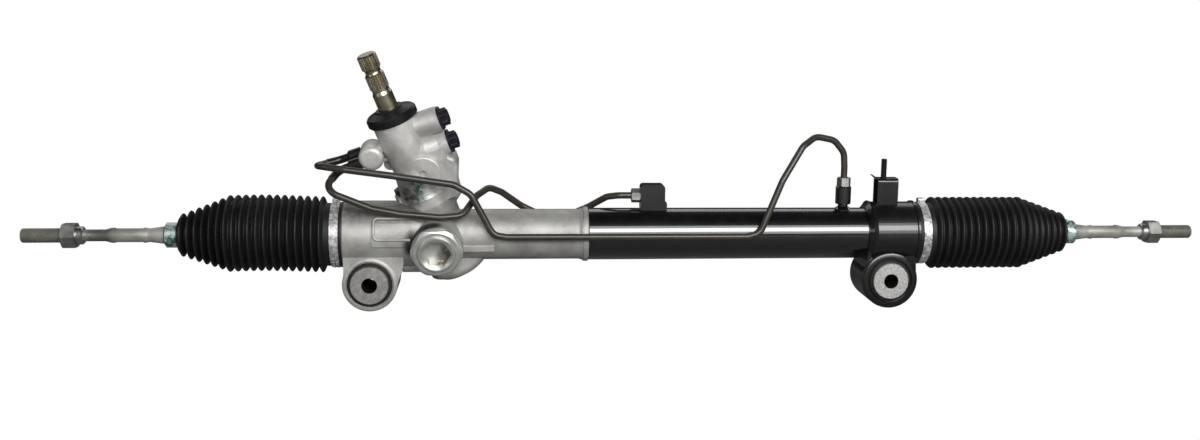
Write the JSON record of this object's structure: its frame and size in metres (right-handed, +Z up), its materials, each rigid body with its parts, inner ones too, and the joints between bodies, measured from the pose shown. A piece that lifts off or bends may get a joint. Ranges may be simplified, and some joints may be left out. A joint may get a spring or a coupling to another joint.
{
  "type": "steering rack",
  "caption": "Hydraulic rack-and-pinion steering gear with a leaning pinion tower, bellows boots, ball-jointed tie rods, two bushed mounting ears and bent pressure lines.",
  "frame": {"origin": "on the axis of the left mounting bore, where it crosses the vertical plane of the rack axis", "axes": "+X along the rack towards the plain cylinder end, +Y away from the bolt heads, +Z up from the mounting bores to the rack"},
  "size_m": [1.168, 0.1035, 0.2504],
  "materials": {
    "cast_aluminium": "as cast, fine grain",
    "black_paint": "gloss black paint",
    "boot_rubber": "matte black",
    "bush_rubber": "matte black",
    "cover_plastic": "satin black",
    "plug_plastic": "satin black",
    "rod_steel": "satin, oiled",
    "zinc_silver": "zinc plated",
    "zinc_yellow": "yellow zinc plated",
    "zinc_green": "zinc plated, slight green",
    "washer_steel": "satin",
    "line_coat": "olive-brown coating",
    "line_nut_black": "black plated",
    "ground_steel": "ground",
    "hardened_steel": "machined",
    "bronze": "sintered bronze",
    "seal_rubber": "nitrile",
    "nylon": "natural",
    "ptfe": "filled, brown"
  },
  "bodies": {
    "housing": {"gear_housing": "cast_aluminium", "valve_housing": "cast_aluminium", "cylinder_tube": "black_paint", "right_bracket": "black_paint", "line_bracket": "black_paint", "valve_housing_bolts": "zinc_silver", "dust_cover": "cover_plastic", "port_plugs": "plug_plastic", "input_seal": "seal_rubber", "input_bearing": "hardened_steel", "upper_bearing_outer_race": "hardened_steel", "lower_bearing": "hardened_steel", "lower_plug": "zinc_silver", "rack_guide": "hardened_steel", "rack_guide_liner": "ptfe", "rack_guide_spring": "hardened_steel", "rack_guide_plug": "zinc_green", "rack_guide_lock_ring": "zinc_silver", "inner_rack_seal": "seal_rubber", "inner_seal_backer": "nylon", "rack_bushing": "bronze", "outer_rack_seal": "seal_rubber", "bushing_snap_ring": "hardened_steel", "long_pressure_line": "line_coat", "short_pressure_line": "line_coat", "valve_line_nuts": "line_nut_black", "cylinder_line_nuts": "zinc_silver", "bracket_stud": "zinc_silver", "left_boot": "boot_rubber", "right_boot": "boot_rubber", "boot_clamps": "zinc_silver", "bush_washers": "washer_steel", "left_bush_rubber": "bush_rubber", "right_bush_rubber": "bush_rubber", "left_bush_sleeve": "washer_steel", "right_bush_sleeve": "washer_steel"},
    "rack": {"rack_bar": "ground_steel", "piston": "hardened_steel", "piston_ring": "ptfe", "piston_snap_rings": "hardened_steel", "left_ball_socket": "hardened_steel", "right_ball_socket": "hardened_steel", "left_claw_washer": "zinc_silver", "right_claw_washer": "zinc_silver"},
    "pinion": {"pinion": "hardened_steel", "pinion_nut": "zinc_silver", "valve_sleeve": "ground_steel", "valve_sleeve_rings": "ptfe", "upper_bearing_inner_race": "hardened_steel"},
    "input_shaft": {"input_shaft": "zinc_yellow", "torsion_bar": "hardened_steel", "torsion_pin": "hardened_steel"},
    "left_ball_seat": {"left_ball_seat": "nylon"},
    "left_tie_rod": {"left_tie_rod": "rod_steel", "left_lock_nut": "zinc_silver", "left_boot_clip": "zinc_green"},
    "right_ball_seat": {"right_ball_seat": "nylon"},
    "right_tie_rod": {"right_tie_rod": "rod_steel", "right_lock_nut": "zinc_silver", "right_boot_clip": "zinc_green"}
  },
  "joints": [
    {"name": "rack_slide", "type": "slide", "parent": "housing", "child": "rack", "axis": [1, 0, 0], "range_m": [-0.068, 0.068], "deforming": ["left_boot", "right_boot"]},
    {"name": "pinion_turn", "type": "hinge", "parent": "housing", "child": "pinion", "pos_m": [0.064, 0.01617, 0.04788], "axis": [-0.342, -0.2194, 0.9137], "range_deg": [-552, 552]},
    {"name": "input_twist", "type": "hinge", "parent": "pinion", "child": "input_shaft", "pos_m": [0.02296, -0.01016, 0.15753], "axis": [-0.342, -0.2194, 0.9137], "range_deg": [-4, 4], "stiffness_Nm_per_rad": 59},
    {"name": "left_rod_fore_aft", "type": "hinge", "parent": "rack", "child": "left_ball_seat", "pos_m": [-0.13, 0, 0.044], "axis": [0, 0, 1], "range_deg": [-16, 16], "deforming": ["left_boot"]},
    {"name": "left_rod_up_down", "type": "hinge", "parent": "left_ball_seat", "child": "left_tie_rod", "pos_m": [-0.13, 0, 0.044], "axis": [0, 1, 0], "range_deg": [-16, 16], "deforming": ["left_boot"]},
    {"name": "right_rod_fore_aft", "type": "hinge", "parent": "rack", "child": "right_ball_seat", "pos_m": [0.657, 0, 0.044], "axis": [0, 0, 1], "range_deg": [-16, 16], "deforming": ["right_boot"]},
    {"name": "right_rod_up_down", "type": "hinge", "parent": "right_ball_seat", "child": "right_tie_rod", "pos_m": [0.657, 0, 0.044], "axis": [0, 1, 0], "range_deg": [-16, 16], "deforming": ["right_boot"]}
  ],
  "couplings": [
    {"joint": "pinion_turn", "follows": "rack_slide", "rad_per_m": 141.47}
  ]
}
